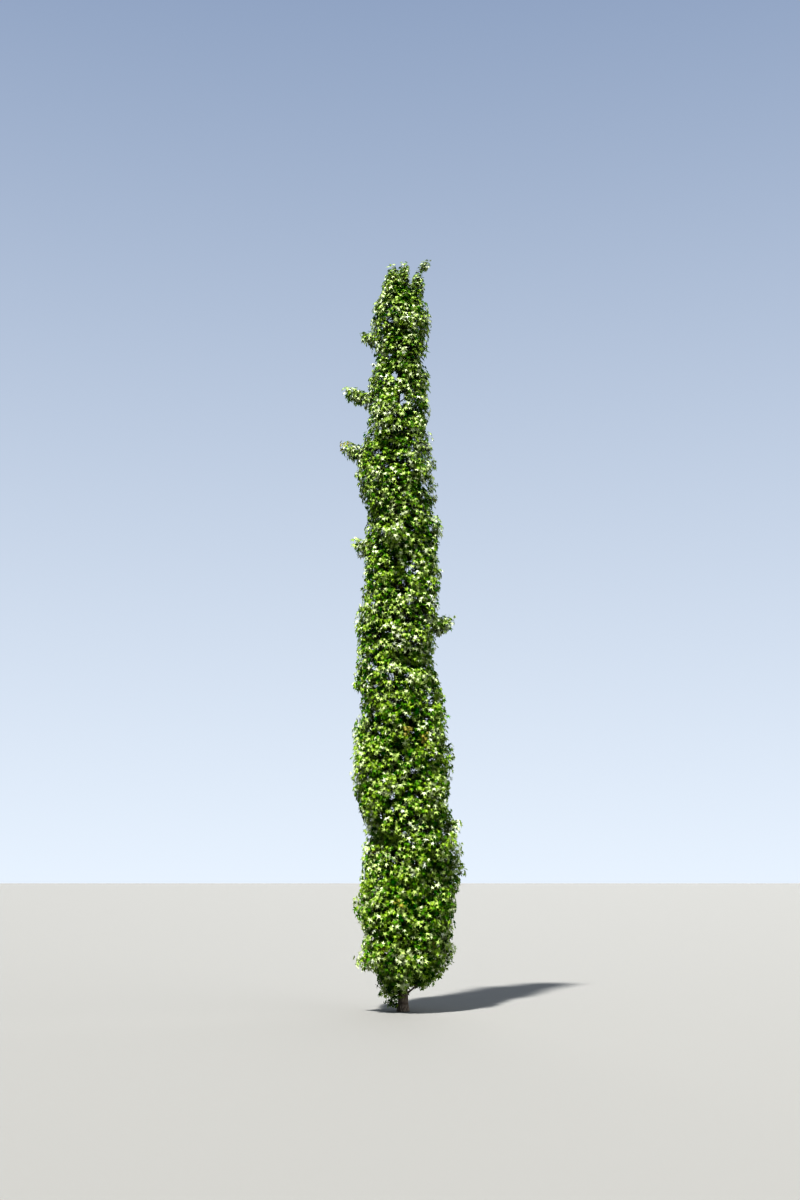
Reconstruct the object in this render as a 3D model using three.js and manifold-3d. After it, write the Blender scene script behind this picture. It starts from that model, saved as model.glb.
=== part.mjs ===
// A narrow, upright sweetgum tree in spring leaf. One trunk runs the whole height, and short boughs climb
// round it in a spiral and turn upwards. Each bough carries one mass of star-shaped leaves. The masses make
// a slim column whose foot is rounded, whose sides have a few longer shoots and whose top ends in three
// plumes. Millimetres, +Z up. The origin is the middle of the trunk's flat foot, on the ground. +X is the
// tree's right and -Y its front.

import * as THREE from "three";
import { mergeVertices } from "three/addons/utils/BufferGeometryUtils.js";
import Module from "manifold-3d";

const wasm = await Module();
wasm.setup();

// Whole tree
const TREE_HEIGHT = 10000;
const SEED = 211;

// Trunk
const TRUNK_TIP_HEIGHT = 0.945 * TREE_HEIGHT;
const TRUNK_RADIUS = 58;
const TRUNK_TIP_RADIUS = 9;
const FLARE_RADIUS = 20; // added to the trunk's radius at the ground
const FLARE_FADE = 85; // height over which the flare falls to a third
const FLARE_LOBES = 4;
const FLARE_LOBE_SHARE = 0.08;
const TRUNK_BOW = 95; // how far the trunk bows to the left halfway up
const TRUNK_WAVE = 12;
const TRUNK_WAVE_LENGTH = 1900;
const TRUNK_SIDES = 12;
const TRUNK_RINGS = 15;

// Crown: masses of leaves that climb round the trunk in a spiral
const MASS_COUNT = 30;
const LOW_RING = 2; // the spiral starts after this many masses, which stand at its foot
const BOUGH_COUNT = 24; // masses after these grow straight from the trunk
const FIRST_BEARING = -40; // from the right towards the back
const BEARING_STEP = 137.5;
const LOWEST_MASS = 0.093 * TREE_HEIGHT;
const HIGHEST_MASS = 0.905 * TREE_HEIGHT;
const CROWDING = 0.2; // masses stand closer together towards the top by this share
const LOW_REACH = 800; // from the trunk to the outside of the crown, at the lowest mass
const HIGH_REACH = 480; // the same at the highest mass
const FOOT_NARROWING = 0.16; // the crown's foot is narrower by this share
const FOOT_NARROWING_FADE = 450;
const CROWN_SHIFT = 90; // the lower crown stands this far to the right of the trunk
const CROWN_SHIFT_END = 9000;
const MASS_SHARE = 0.6; // a mass's radius as a share of the crown's reach
const MASS_TALLNESS = 1.7; // a mass's height over its width

// Limbs
const SEAT_GAP = 0.3; // between two pieces that touch
const STEM_GAP = 0.35; // between a bough's flat end and its mass's stem
const LIMB_CLEARANCE = 4; // between a limb and what only passes it
const BOUGH_RADIUS = 13;
const BOUGH_TIP_SHARE = 0.7;
const BOUGH_END = 0.42; // where along its curve a bough enters its mass
const BOUGH_DROP = 1; // a limb leaves the trunk this many mass half-heights under the mass's centre
const LOWEST_ROOT = 95;
const LIMB_BEND_OUT = 1.25;
const LIMB_BEND_UP = 0.25;
const STEM_SHARE = 0.8; // a stem's radius over its bough's tip radius
const STEM_STRAIGHT = 20; // this much of a stem runs straight on from its bough
const STEM_TOP = 0.3; // a stem ends this share of the mass's half-height above its centre
const JOINT_COUNT = 14; // twigs leave the stem at these joints, all inside the core
const STEM_TOP_RADIUS = 8;
const LONG_TWIG = 0.85; // a twig longer than this share of its mass's radius has a bend
const TWIG_RADIUS = 5;
const TWIG_TIP_RADIUS = 3;
const TWIG_SLANT = 0.5; // the sine of the least angle between a twig and its leaf
const TWIG_RISE = 0.55; // how far a twig rises over how far it goes across

// Leaves, each of which stands for a spray
const LEAF_SHARE = 0.54; // from the middle of a leaf to its tip, over its mass's radius
const LEAF_OUTLINE = [ // bearing from the midrib in degrees, and distance as a share of the leaf's length
  [0, 1], [30, 0.42], [60, 0.9], [92, 0.4], [125, 0.62],
];
const LEAF_ROOT = 0.1; // the twig meets the leaf this share of its length behind the middle
const LEAF_LIFT = 0.4; // how much a leaf faces upwards, against outwards
const LEAF_THICKNESS = 0.05; // at that place, over the leaf's length
const LEAF_CUP = 0.3; // how far the tips hang below the middle
const LEAF_SPACING = 0.8; // least distance between the middles of two leaves, over their length
const LEAF_TRIES = 12;
const LEAF_SIZES = [1.1, 0.6]; // a leaf's size at the first try and at the last
const LEAVES_PER_MASS = 10;
const TWIG_TRIES = 70; // directions in which a mass tries to grow a twig
const DIRECTION_STRIDE = 43; // spreads the first few of them evenly
const TWIG_REACH = [0.66, 0.84]; // where a twig ends, as a share of the way to the mass's surface
const CORE_SHARE = 0.48;
const CELL_MARGIN = 4; // kept from the plane between two masses

// Longer shoots that stand out of the column: height, bearing from the right towards the back in degrees,
// reach of their tips from the trunk, and half-thickness
const SHOOTS = [
  { height: 610, bearing: 192, reach: 650, girth: 150 },
  { height: 2330, bearing: -8, reach: 800, girth: 160 },
  { height: 4960, bearing: 5, reach: 790, girth: 160 },
  { height: 6010, bearing: 172, reach: 610, girth: 150 },
  { height: 7320, bearing: 185, reach: 730, girth: 160 },
  { height: 8070, bearing: 176, reach: 740, girth: 150 },
  { height: 8900, bearing: 190, reach: 540, girth: 130 },
  { height: 3350, bearing: 84, reach: 800, girth: 150 },
  { height: 5900, bearing: 262, reach: 700, girth: 150 },
  { height: 7750, bearing: 70, reach: 620, girth: 140 },
];

// The leaves of such a shoot: how far back from its tip, and how far off its line to the
// back and upwards, over its girth
const SHOOT_LEAVES = [
  { back: 0.5, side: -0.1, rise: 0 },
  { back: 1.2, side: -0.3, rise: 0.3 },
  { back: 1.5, side: 0.3, rise: -0.2 },
];
const SHOOT_LEAF_SHARE = 0.85;

// Plumes at the top: place of the middle across and to the back of the trunk, height of the tip, and radius
const PLUMES = [
  { name: "left", x: -140, y: -60, top: 9960, radius: 175 },
  { name: "middle", x: 20, y: 70, top: 10040, radius: 170 },
  { name: "right", x: 210, y: -40, top: 9880, radius: 140 },
];
const PLUME_ROOT_STEP = 36; // between the places on the trunk where the plumes' stems start
const TIP_SHOOT = { across: 350, girth: 100 }; // a slim shoot that stands up beyond the right plume

// A leafy shoot on the left of the trunk's foot
const FOOT_SHOOT = { x: -132, y: -15, height: 155, radius: 84, rootHeight: 60 };

const BARK = new THREE.MeshStandardMaterial({ color: 0x6a6058, roughness: 0.95, metalness: 0 });
const LEAF_GREEN = new THREE.MeshStandardMaterial({ color: 0x6f9a2e, roughness: 0.45, metalness: 0 });

const mix = THREE.MathUtils.lerp;
const vector = (x = 0, y = 0, z = 0) => new THREE.Vector3(x, y, z);
const bearingVector = (degrees) => {
  const angle = THREE.MathUtils.degToRad(degrees);
  return vector(Math.cos(angle), Math.sin(angle), 0);
};

// A small generator, so that the tree grows the same each time.
function randomFrom(seed) {
  let state = seed;
  return () => {
    state = (state * 48271) % 2147483647;
    return state / 2147483647;
  };
}

// Trunk: the middle line and the radius at a height

function trunkAxis(height) {
  const bow = -TRUNK_BOW * Math.sin((Math.PI * height) / (1.05 * TREE_HEIGHT));
  const wave = TRUNK_WAVE * Math.sin((2 * Math.PI * height) / TRUNK_WAVE_LENGTH);
  const back = 1.5 * TRUNK_WAVE * Math.sin((2 * Math.PI * height) / (4 * TRUNK_WAVE_LENGTH));
  return vector(bow + wave, back, height);
}

function trunkRadius(height) {
  const taper = mix(TRUNK_RADIUS, TRUNK_TIP_RADIUS, (height / TRUNK_TIP_HEIGHT) ** 0.9);
  return taper + FLARE_RADIUS * Math.exp(-height / FLARE_FADE);
}

// Solids

// A closed skin over a stack of rings with the same number of points each. Wide ends have a middle point.
function loft(rings) {
  const sides = rings[0].length;
  const last = (rings.length - 1) * sides;
  const points = rings.flat();
  const index = [];
  for (let s = 0; s < sides; s++) {
    const next = (s + 1) % sides;
    for (let start = 0; start < last; start += sides) {
      const a = start + s;
      const b = start + next;
      index.push(a, b, b + sides, a, b + sides, a + sides);
    }
  }
  if (sides > 6) {
    const foot = points.push(middleOf(rings[0])) - 1;
    const head = points.push(middleOf(rings.at(-1))) - 1;
    for (let s = 0; s < sides; s++) {
      const next = (s + 1) % sides;
      index.push(foot, next, s, head, last + s, last + next);
    }
  } else {
    for (let s = 1; s + 1 < sides; s++) {
      index.push(0, s + 1, s, last, last + s, last + s + 1);
    }
  }
  return solidOf(geometryFrom(points, index));
}

function middleOf(points) {
  return points.reduce((sum, p) => sum.add(p), vector(0, 0, 0)).divideScalar(points.length);
}

function geometryFrom(points, index) {
  const geometry = new THREE.BufferGeometry().setFromPoints(points);
  geometry.setIndex(index);
  return geometry;
}

function solidOf(geometry) {
  const bare = new THREE.BufferGeometry();
  bare.setAttribute("position", geometry.getAttribute("position"));
  bare.setIndex(geometry.index);
  const merged = mergeVertices(bare, 1e-3);
  return new wasm.Manifold(
    new wasm.Mesh({
      numProp: 3,
      vertProperties: merged.attributes.position.array,
      triVerts: new Uint32Array(merged.index.array),
    }),
  );
}

// The rings of a limb that follows points and has a radius at each of them, grown all round by "grow".
function limbRings(points, radii, sides, grow = 0) {
  return points.map((point, i) => {
    const before = points[Math.max(i - 1, 0)];
    const after = points[Math.min(i + 1, points.length - 1)];
    const ahead = after.clone().sub(before).normalize();
    const across = vector(0, 1, 0.2).cross(ahead).normalize();
    const up = ahead.clone().cross(across);
    const end = i === 0 ? -grow : i === points.length - 1 ? grow : 0;
    return Array.from({ length: sides }, (_, s) => {
      const angle = (2 * Math.PI * s) / sides;
      return point.clone().addScaledVector(ahead, end)
        .addScaledVector(across, (radii[i] + grow) * Math.cos(angle))
        .addScaledVector(up, (radii[i] + grow) * Math.sin(angle));
    });
  });
}

function trunkSolid(grow = 0) {
  const rings = [];
  for (let r = 0; r <= TRUNK_RINGS; r++) {
    const share = r / TRUNK_RINGS;
    const height = TRUNK_TIP_HEIGHT * share * mix(0.12, 1, share ** 0.7);
    const middle = trunkAxis(height);
    const lobes = FLARE_LOBE_SHARE * Math.exp(-height / FLARE_FADE);
    const lift = r === TRUNK_RINGS ? grow : 0;
    rings.push(Array.from({ length: TRUNK_SIDES }, (_, s) => {
      const angle = (2 * Math.PI * s) / TRUNK_SIDES;
      const radius = trunkRadius(height) * (1 + lobes * Math.cos(FLARE_LOBES * angle)) + grow;
      return vector(middle.x + radius * Math.cos(angle), middle.y + radius * Math.sin(angle), height + lift);
    }));
  }
  return loft(rings);
}

// Masses: each has a middle, a radius and the line of its stem

function crownReach(height) {
  const straight = mix(LOW_REACH, HIGH_REACH, (height - LOWEST_MASS) / (HIGHEST_MASS - LOWEST_MASS));
  return straight * (1 - FOOT_NARROWING * Math.exp(-Math.max(0, height - LOWEST_MASS) / FOOT_NARROWING_FADE));
}

function massHeight(n) {
  const share = THREE.MathUtils.clamp((n - LOW_RING) / (MASS_COUNT - 2 - LOW_RING), 0, 1);
  return mix(LOWEST_MASS, HIGHEST_MASS, share * (1 + CROWDING * (1 - share)));
}

// A limb leaves the trunk, bends and rises to the middle of its mass.
function limbCurve(rootHeight, centre) {
  const root = trunkAxis(rootHeight);
  const bend = root.clone().lerp(centre, LIMB_BEND_OUT).setZ(mix(rootHeight, centre.z, LIMB_BEND_UP));
  return new THREE.QuadraticBezierCurve3(root, bend, centre.clone());
}

function spiralMasses(random) {
  return Array.from({ length: MASS_COUNT }, (_, n) => {
    const height = massHeight(n) + 60 * (random() - 0.5);
    const bearing = FIRST_BEARING + BEARING_STEP * n + 16 * (random() - 0.5);
    const reach = crownReach(height) * mix(0.96, 1.04, random());
    const radius = MASS_SHARE * reach;
    const centre = trunkAxis(height).addScaledVector(bearingVector(bearing), reach - radius);
    centre.x += CROWN_SHIFT * Math.max(0, 1 - height / CROWN_SHIFT_END);
    const number = String(n + 1).padStart(2, "0");
    return {
      name: `leaves_${number}`,
      boughName: n < BOUGH_COUNT ? `bough_${number}` : null,
      centre,
      radius,
      rootHeight: Math.max(LOWEST_ROOT, height - BOUGH_DROP * MASS_TALLNESS * radius),
      limbRadius: BOUGH_RADIUS * (reach / LOW_REACH),
      shoots: [],
    };
  });
}

function plumeMasses() {
  return PLUMES.map(({ name, x, y, top, radius }, n) => ({
    name: `leaves_top_${name}`,
    boughName: null,
    centre: vector(x, y, top - MASS_TALLNESS * radius),
    radius,
    rootHeight: TRUNK_TIP_HEIGHT - PLUME_ROOT_STEP * (n + 0.5),
    limbRadius: 0.6 * BOUGH_RADIUS,
    shoots: [],
  }));
}

function footMass() {
  const { x, y, height, radius, rootHeight } = FOOT_SHOOT;
  return {
    name: "leaves_foot_shoot",
    boughName: null,
    centre: vector(x, y, height),
    radius,
    rootHeight,
    limbRadius: 0.45 * BOUGH_RADIUS,
    shoots: [],
  };
}

// How far a point is inside a mass's space, squared and with heights shrunk so that the mass is a ball: under
// 0 inside it. A point belongs to the mass for which this is least, so the planes between masses part them.
function depth(mass, point) {
  const up = (point.z - mass.centre.z) / MASS_TALLNESS;
  const across = (point.x - mass.centre.x) ** 2 + (point.y - mass.centre.y) ** 2;
  return across + up * up - mass.radius ** 2;
}

// Whether a point keeps to the mass's side of every plane, by a margin.
function inCell(mass, masses, point) {
  const own = depth(mass, point);
  return masses.every((other) => {
    if (other === mass) return true;
    const apart = 2 * mass.centre.distanceTo(other.centre);
    return depth(other, point) - own > CELL_MARGIN * apart;
  });
}

// Leaves and twigs

// The bearings round a leaf's foot of the three edges of its twig, which open out into the leaf's underside.
const TWIG_EDGES = [60, 180, 300];

function around(middle, along, side, degrees, radius) {
  const angle = THREE.MathUtils.degToRad(degrees);
  return middle.clone()
    .addScaledVector(along, radius * Math.cos(angle))
    .addScaledVector(side, radius * Math.sin(angle));
}

// The points of a leaf: its outline all round, its middle, and the three where its twig comes in.
function leafPoints(foot, along, facing, length) {
  const side = facing.clone().cross(along).normalize();
  const normal = along.clone().cross(side).normalize();
  const middle = foot.clone()
    .addScaledVector(along, LEAF_ROOT * length)
    .addScaledVector(normal, LEAF_THICKNESS * length);
  const place = (degrees, share) => {
    const hang = -LEAF_CUP * length * share * share;
    return around(middle, along, side, degrees, share * length).addScaledVector(normal, hang);
  };
  const left = LEAF_OUTLINE.map(([degrees, share]) => place(degrees, share));
  const right = LEAF_OUTLINE.slice(1).reverse().map(([degrees, share]) => place(360 - degrees, share));
  const footRing = TWIG_EDGES.map((degrees) => around(foot, along, side, degrees, TWIG_TIP_RADIUS));
  return { outline: [...left, ...right], middle, footRing, normal };
}

// A three-sided twig along "points" that opens out into its leaf, as one closed skin.
function leafyTwig(points, leaf, along) {
  const rings = points.slice(0, -1).map((point, i) => {
    const ahead = points[i + 1].clone().sub(points[Math.max(i - 1, 0)]).normalize();
    const across = along.clone().projectOnPlane(ahead).normalize();
    const beyond = ahead.clone().cross(across);
    return TWIG_EDGES.map((degrees) => around(point, across, beyond, degrees, TWIG_RADIUS));
  });
  rings.push(leaf.footRing);
  const skin = [...rings.flat(), ...leaf.outline, leaf.middle];
  const foot = 3 * (rings.length - 1);
  const rim = foot + 3;
  const count = leaf.outline.length;
  const index = [0, 2, 1];
  for (let start = 0; start < foot; start += 3) {
    for (let s = 0; s < 3; s++) {
      const a = start + s;
      const b = start + ((s + 1) % 3);
      index.push(a, b, b + 3, a, b + 3, a + 3);
    }
  }
  for (let i = 0; i < count; i++) {
    const next = (i + 1) % count;
    const edge = foot + Math.floor((3 * i) / count);
    const nextEdge = foot + Math.floor((3 * next) / count);
    index.push(rim + count, rim + i, rim + next, rim + next, rim + i, edge);
    if (edge !== nextEdge) index.push(rim + next, edge, nextEdge);
  }
  return solidOf(geometryFrom(skin, index));
}

// An even set of directions all round, in a fixed order that jumps about.
function directions(count) {
  const golden = Math.PI * (3 - Math.sqrt(5));
  return Array.from({ length: count }, (_, n) => {
    const turn = (n * DIRECTION_STRIDE) % count;
    const z = 1 - (2 * (turn + 0.5)) / count;
    const across = Math.sqrt(1 - z * z);
    return vector(across * Math.cos(golden * turn), across * Math.sin(golden * turn), z);
  });
}

// The points of a mass's stem. It carries straight on from the flat end of its bough, a small gap away, or
// starts inside the trunk, and ends above the middle of the mass.
function stemPoints(mass, masses) {
  const curve = limbCurve(mass.rootHeight, mass.centre);
  const points = [0.6, 0.8, 1].map((t) => curve.getPoint(t));
  const start = mass.boughName ? boughPoints(mass) : [curve.getPoint(0)];
  if (mass.boughName) {
    const [, before, end] = start;
    const ahead = end.clone().sub(before).normalize();
    points.unshift(...[STEM_GAP, STEM_STRAIGHT].map((gap) => end.clone().addScaledVector(ahead, gap)));
  } else {
    points.unshift(...start);
  }
  const top = mass.centre.clone();
  top.z += STEM_TOP * MASS_TALLNESS * mass.radius;
  while (!inCell(mass, masses, top)) top.z -= 0.02 * mass.radius;
  return [...points, top];
}

// Of the free joints on the stem, the one from which a twig best rises to "tip".
function twigRoot(joints, tip) {
  const cost = (joint) => {
    const across = Math.hypot(tip.x - joint.x, tip.y - joint.y);
    return joint.distanceTo(tip) + 1.5 * Math.abs(tip.z - joint.z - TWIG_RISE * across);
  };
  return joints.reduce((best, joint) => (cost(joint) < cost(best) ? joint : best));
}

// The way out of the crown at a point of a mass, and a little upwards.
function outwardAt(mass, point) {
  const fromTrunk = point.clone().sub(trunkAxis(point.z)).setZ(0).normalize();
  const fromMiddle = point.clone().sub(mass.centre);
  fromMiddle.z /= MASS_TALLNESS ** 2;
  return fromMiddle.normalize().addScaledVector(fromTrunk, 0.6).add(vector(0, 0, LEAF_LIFT)).normalize();
}

function growMass(mass, masses, limbs, random) {
  const stem = stemPoints(mass, masses);
  const stemRadius = Math.max(STEM_TOP_RADIUS, mass.limbRadius * BOUGH_TIP_SHARE * STEM_SHARE);
  const stemRadii = stem.map((_, i) => mix(stemRadius, STEM_TOP_RADIUS, i / (stem.length - 1)));
  const stemLine = new THREE.CatmullRomCurve3(stem);
  const jointAt = (n) => stemLine.getPoint(1 - (0.5 * n) / JOINT_COUNT);
  const joints = Array.from({ length: JOINT_COUNT }, (_, n) => jointAt(n));
  const core = coreSolid(mass, masses, random).subtract(limbs.wide);
  const middles = [];
  let grown = loft(limbRings(stem, stemRadii, 3));

  // A twig rises from the best joint to "tip" and bears a leaf that lies across the way out of the crown. The
  // leaf turns and shrinks until it fits, or both are skipped.
  const growTwig = ({ tip, facing, length, allowed }) => {
    const root = twigRoot(joints, tip);
    const points = [root, tip];
    if (root.distanceTo(tip) > LONG_TWIG * mass.radius) {
      const knee = root.clone().lerp(tip, 0.5);
      knee.z -= 0.1 * root.distanceTo(tip);
      points.splice(1, 0, knee);
    }
    const ahead = tip.clone().sub(points.at(-2)).normalize();
    const down = vector(0, 0, -1).projectOnPlane(facing).normalize();
    const side = facing.clone().cross(down);
    for (let attempt = 0; attempt < LEAF_TRIES; attempt++) {
      const swing = Math.PI * 1.1 * (random() - 0.5);
      const along = down.clone().multiplyScalar(Math.cos(swing)).addScaledVector(side, Math.sin(swing));
      along.addScaledVector(facing, 0.5 * (random() - 0.3)).normalize();
      const leaf = leafPoints(tip, along, facing, length * mix(...LEAF_SIZES, attempt / LEAF_TRIES));
      if (leaf.normal.dot(ahead) < TWIG_SLANT || !leaf.outline.every(allowed)) continue;
      if (middles.some((middle) => middle.distanceTo(leaf.middle) < LEAF_SPACING * length)) continue;
      const twig = leafyTwig(points, leaf, along);
      if (!limbs.wide.intersect(twig).isEmpty() || !grown.intersect(twig.subtract(core)).isEmpty()) continue;
      grown = grown.add(twig);
      middles.push(leaf.middle);
      return;
    }
  };

  for (const { tip, girth } of mass.shoots) {
    const line = new THREE.Line3(mass.centre, tip);
    const away = line.delta(vector()).normalize();
    const near = (p) => line.closestPointToPoint(p, true, vector()).distanceTo(p) < girth;
    for (const { back, side, rise } of SHOOT_LEAVES) {
      growTwig({
        tip: tip.clone().addScaledVector(away, -back * girth).add(vector(0, side * girth, rise * girth)),
        facing: away.clone().multiplyScalar(0.6).add(vector(0, side, 0.7)).normalize(),
        length: SHOOT_LEAF_SHARE * girth,
        allowed: (p) => p.z > CELL_MARGIN && near(p) && inCell(mass, masses, p),
      });
    }
  }
  const fromTrunk = mass.centre.clone().sub(trunkAxis(mass.centre.z)).setZ(0).normalize();
  const mostLeaves = middles.length + LEAVES_PER_MASS;
  for (const direction of directions(TWIG_TRIES)) {
    if (middles.length >= mostLeaves) break;
    if (direction.dot(fromTrunk) < -0.3) continue;
    const tip = direction.multiplyScalar(mix(...TWIG_REACH, random()) * mass.radius);
    tip.z *= MASS_TALLNESS;
    tip.add(mass.centre);
    growTwig({
      tip,
      facing: outwardAt(mass, tip),
      length: LEAF_SHARE * mass.radius,
      allowed: (p) => p.z > CELL_MARGIN && depth(mass, p) < 0 && inCell(mass, masses, p),
    });
  }
  const whole = grown.add(core).subtract(limbs.seat);
  return whole.decompose().sort((a, b) => b.volume() - a.volume())[0].simplify(0.02);
}

// The dark, dense middle of a mass: a rough ball, stretched upwards, inside the mass's own cell.
function coreSolid(mass, masses, random) {
  const bare = new THREE.IcosahedronGeometry(1, 0).deleteAttribute("normal").deleteAttribute("uv");
  const ball = mergeVertices(bare);
  const place = ball.getAttribute("position");
  for (let i = 0; i < place.count; i++) {
    const away = vector().fromBufferAttribute(place, i);
    away.z *= MASS_TALLNESS;
    let size = CORE_SHARE * mass.radius * mix(0.9, 1.1, random());
    let point = mass.centre.clone().addScaledVector(away, size);
    while (!inCell(mass, masses, point)) {
      size *= 0.95;
      point = mass.centre.clone().addScaledVector(away, size);
    }
    place.setXYZ(i, point.x, point.y, point.z);
  }
  return solidOf(ball);
}

// Assembly

function meshOf(name, solid, material, place = vector(0, 0, 0)) {
  const { vertProperties, triVerts } = solid.translate(place.clone().negate().toArray()).getMesh();
  const geometry = new THREE.BufferGeometry();
  geometry.setAttribute("position", new THREE.BufferAttribute(new Float32Array(vertProperties), 3));
  geometry.setIndex(new THREE.BufferAttribute(new Uint32Array(triVerts), 1));
  geometry.computeVertexNormals();
  const mesh = new THREE.Mesh(geometry, material);
  mesh.name = name;
  mesh.position.copy(place);
  return mesh;
}

function boughPoints(mass) {
  const curve = limbCurve(mass.rootHeight, mass.centre);
  return [0, 0.5, 1].map((share) => curve.getPoint(BOUGH_END * share));
}

function boughSolid(mass, grow) {
  const points = boughPoints(mass);
  const radii = points.map((_, i) => mass.limbRadius * mix(1, BOUGH_TIP_SHARE, i / 2));
  return loft(limbRings(points, radii, 5, grow));
}

const random = randomFrom(SEED);
const masses = [...spiralMasses(random), ...plumeMasses(), footMass()];

// Each longer shoot belongs to the mass whose side of the planes its tip is on.
const shootTips = SHOOTS.map(({ height, bearing, reach, girth }) => {
  const tip = trunkAxis(height).addScaledVector(bearingVector(bearing), reach);
  return { tip, girth };
});
shootTips.push({ tip: vector(TIP_SHOOT.across, 0, TREE_HEIGHT), girth: TIP_SHOOT.girth });
for (const shoot of shootTips) {
  const depths = masses.map((mass) => depth(mass, shoot.tip));
  masses[depths.indexOf(Math.min(...depths))].shoots.push(shoot);
}

const withBoughs = masses.filter((mass) => mass.boughName);
const trunkSeat = trunkSolid(SEAT_GAP);
const boughsGrown = (grow) => withBoughs.map((mass) => boughSolid(mass, grow));
const limbs = {
  seat: wasm.Manifold.union([trunkSeat, ...boughsGrown(SEAT_GAP)]),
  wide: wasm.Manifold.union([trunkSolid(LIMB_CLEARANCE), ...boughsGrown(LIMB_CLEARANCE)]),
};

const tree = new THREE.Group();
tree.name = "sweetgum_tree";
tree.add(meshOf("trunk", trunkSolid(), BARK));
for (const mass of withBoughs) {
  const place = trunkAxis(mass.rootHeight);
  tree.add(meshOf(mass.boughName, boughSolid(mass, 0).subtract(trunkSeat), BARK, place));
}
masses.forEach((mass, n) => {
  const solid = growMass(mass, masses, limbs, randomFrom(SEED + 101 * n));
  tree.add(meshOf(mass.name, solid, LEAF_GREEN, mass.centre));
});

export default tree;
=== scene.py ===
import math
from collections import namedtuple

import bpy
import numpy as np
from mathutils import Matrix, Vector, noise


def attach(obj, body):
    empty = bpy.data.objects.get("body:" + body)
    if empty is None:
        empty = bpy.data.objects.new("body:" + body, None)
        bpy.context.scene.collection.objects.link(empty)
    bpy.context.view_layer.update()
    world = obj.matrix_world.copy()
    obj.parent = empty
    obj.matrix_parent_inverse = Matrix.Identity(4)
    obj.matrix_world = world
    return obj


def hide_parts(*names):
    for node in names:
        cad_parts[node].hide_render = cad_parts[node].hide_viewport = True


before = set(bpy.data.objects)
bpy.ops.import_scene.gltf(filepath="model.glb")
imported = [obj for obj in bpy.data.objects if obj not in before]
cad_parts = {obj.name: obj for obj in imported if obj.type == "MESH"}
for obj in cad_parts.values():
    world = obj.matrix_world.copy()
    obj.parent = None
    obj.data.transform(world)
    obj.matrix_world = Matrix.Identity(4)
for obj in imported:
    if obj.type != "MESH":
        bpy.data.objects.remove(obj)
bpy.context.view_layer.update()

# Camera, at a standing person's eye level. The lens covers the long side of a 36 mm wide sensor.
CAMERA_PLACE = (-0.037, -17.15, 1.633)
CAMERA_PITCH = 11.7
CAMERA_LENS = 40.0
SENSOR_WIDTH = 36

# The tree's sizes in metres and the rule for its masses are those of the part's source.
SEED = 211
TREE_HEIGHT = 10.0
TRUNK_TIP_HEIGHT = 0.945 * TREE_HEIGHT
TRUNK_RADIUS = 0.058
TRUNK_TIP_RADIUS = 0.009
TRUNK_TAPER = 0.9
FLARE_RADIUS = 0.020
FLARE_FADE = 0.085
FLARE_LOBES = 4
FLARE_LOBE_SHARE = 0.08
TRUNK_BOW = 0.095
TRUNK_BOW_SPAN = 1.05 * TREE_HEIGHT
TRUNK_WAVE = 0.012
TRUNK_WAVE_LENGTH = 1.9
TRUNK_BACK_WAVE = 1.5 * TRUNK_WAVE
TRUNK_BACK_WAVE_LENGTH = 4 * TRUNK_WAVE_LENGTH

MASS_COUNT = 30
LOW_RING = 2
BOUGH_COUNT = 24
FIRST_BEARING = -40
BEARING_STEP = 137.5
LOWEST_MASS = 0.093 * TREE_HEIGHT
HIGHEST_MASS = 0.905 * TREE_HEIGHT
CROWDING = 0.2
HEIGHT_CHANCE = 0.060
BEARING_CHANCE = 16
REACH_CHANCE = (0.96, 1.04)
LOW_REACH = 0.80
HIGH_REACH = 0.48
FOOT_NARROWING = 0.16
FOOT_NARROWING_FADE = 0.45
CROWN_SHIFT = 0.09
CROWN_SHIFT_END = 9.0
MASS_SHARE = 0.6
MASS_TALLNESS = 1.7
BOUGH_RADIUS = 0.013
BOUGH_DROP = 1
LOWEST_ROOT = 0.095
LIMB_BEND_OUT = 1.25
LIMB_BEND_UP = 0.25
STEM_TOP = 0.3
STEM_TOP_RADIUS = 0.005
STEM_STEP = 0.02  # by which a stem is shortened until it ends in its own mass, over the mass's radius
LIMB_STEPS = 13  # points along a limb's curve, below its straight top
LIMB_TOP_SHARES = (0.35, 0.7, 1)
TWIG_RISE = 0.55
TWIG_RISE_WEIGHT = 1.5

# Longer leafy shoots at the outline: height, bearing, reach from the trunk's middle, and girth
SHOOTS = [
    (0.34, 214, 0.38, 0.24),
    (0.37, 188, 0.40, 0.22),
    (0.61, 192, 0.61, 0.10),
    (2.33, -8, 0.80, 0.16),
    (4.96, 5, 0.79, 0.16),
    (6.01, 172, 0.61, 0.15),
    (7.34, 184, 0.77, 0.15),
    (8.10, 176, 0.79, 0.14),
    (8.82, 190, 0.55, 0.13),
    (3.35, 84, 0.80, 0.15),
    (5.90, 262, 0.70, 0.15),
    (7.75, 70, 0.62, 0.14),
]
# Plumes at the top: name, place of the middle, height of the tip, radius, how fast the plume's twigs
# lengthen below its tip, and how long they get
PLUMES = [
    ("left", -0.130, -0.060, 9.94, 0.175, 0.36, 0.11),
    ("middle", 0.025, 0.070, 10.04, 0.170, 0.36, 0.08),
    ("right", 0.205, -0.040, 9.86, 0.140, 0.40, 0.045),
]
PLUME_ROOT_STEP = 0.036
PLUME_LEAFY = 0.62  # how far down from its tip a plume is leafy
TIP_SHOOT = {"tip": (0.374, 0.0, TREE_HEIGHT + 0.03), "girth": 0.08, "leafy": 0.14, "leaf_size": 0.66}
FOOT_SHOOT = {"middle": (-0.132, -0.015, 0.155), "radius": 0.084, "root_height": 0.06}

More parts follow.
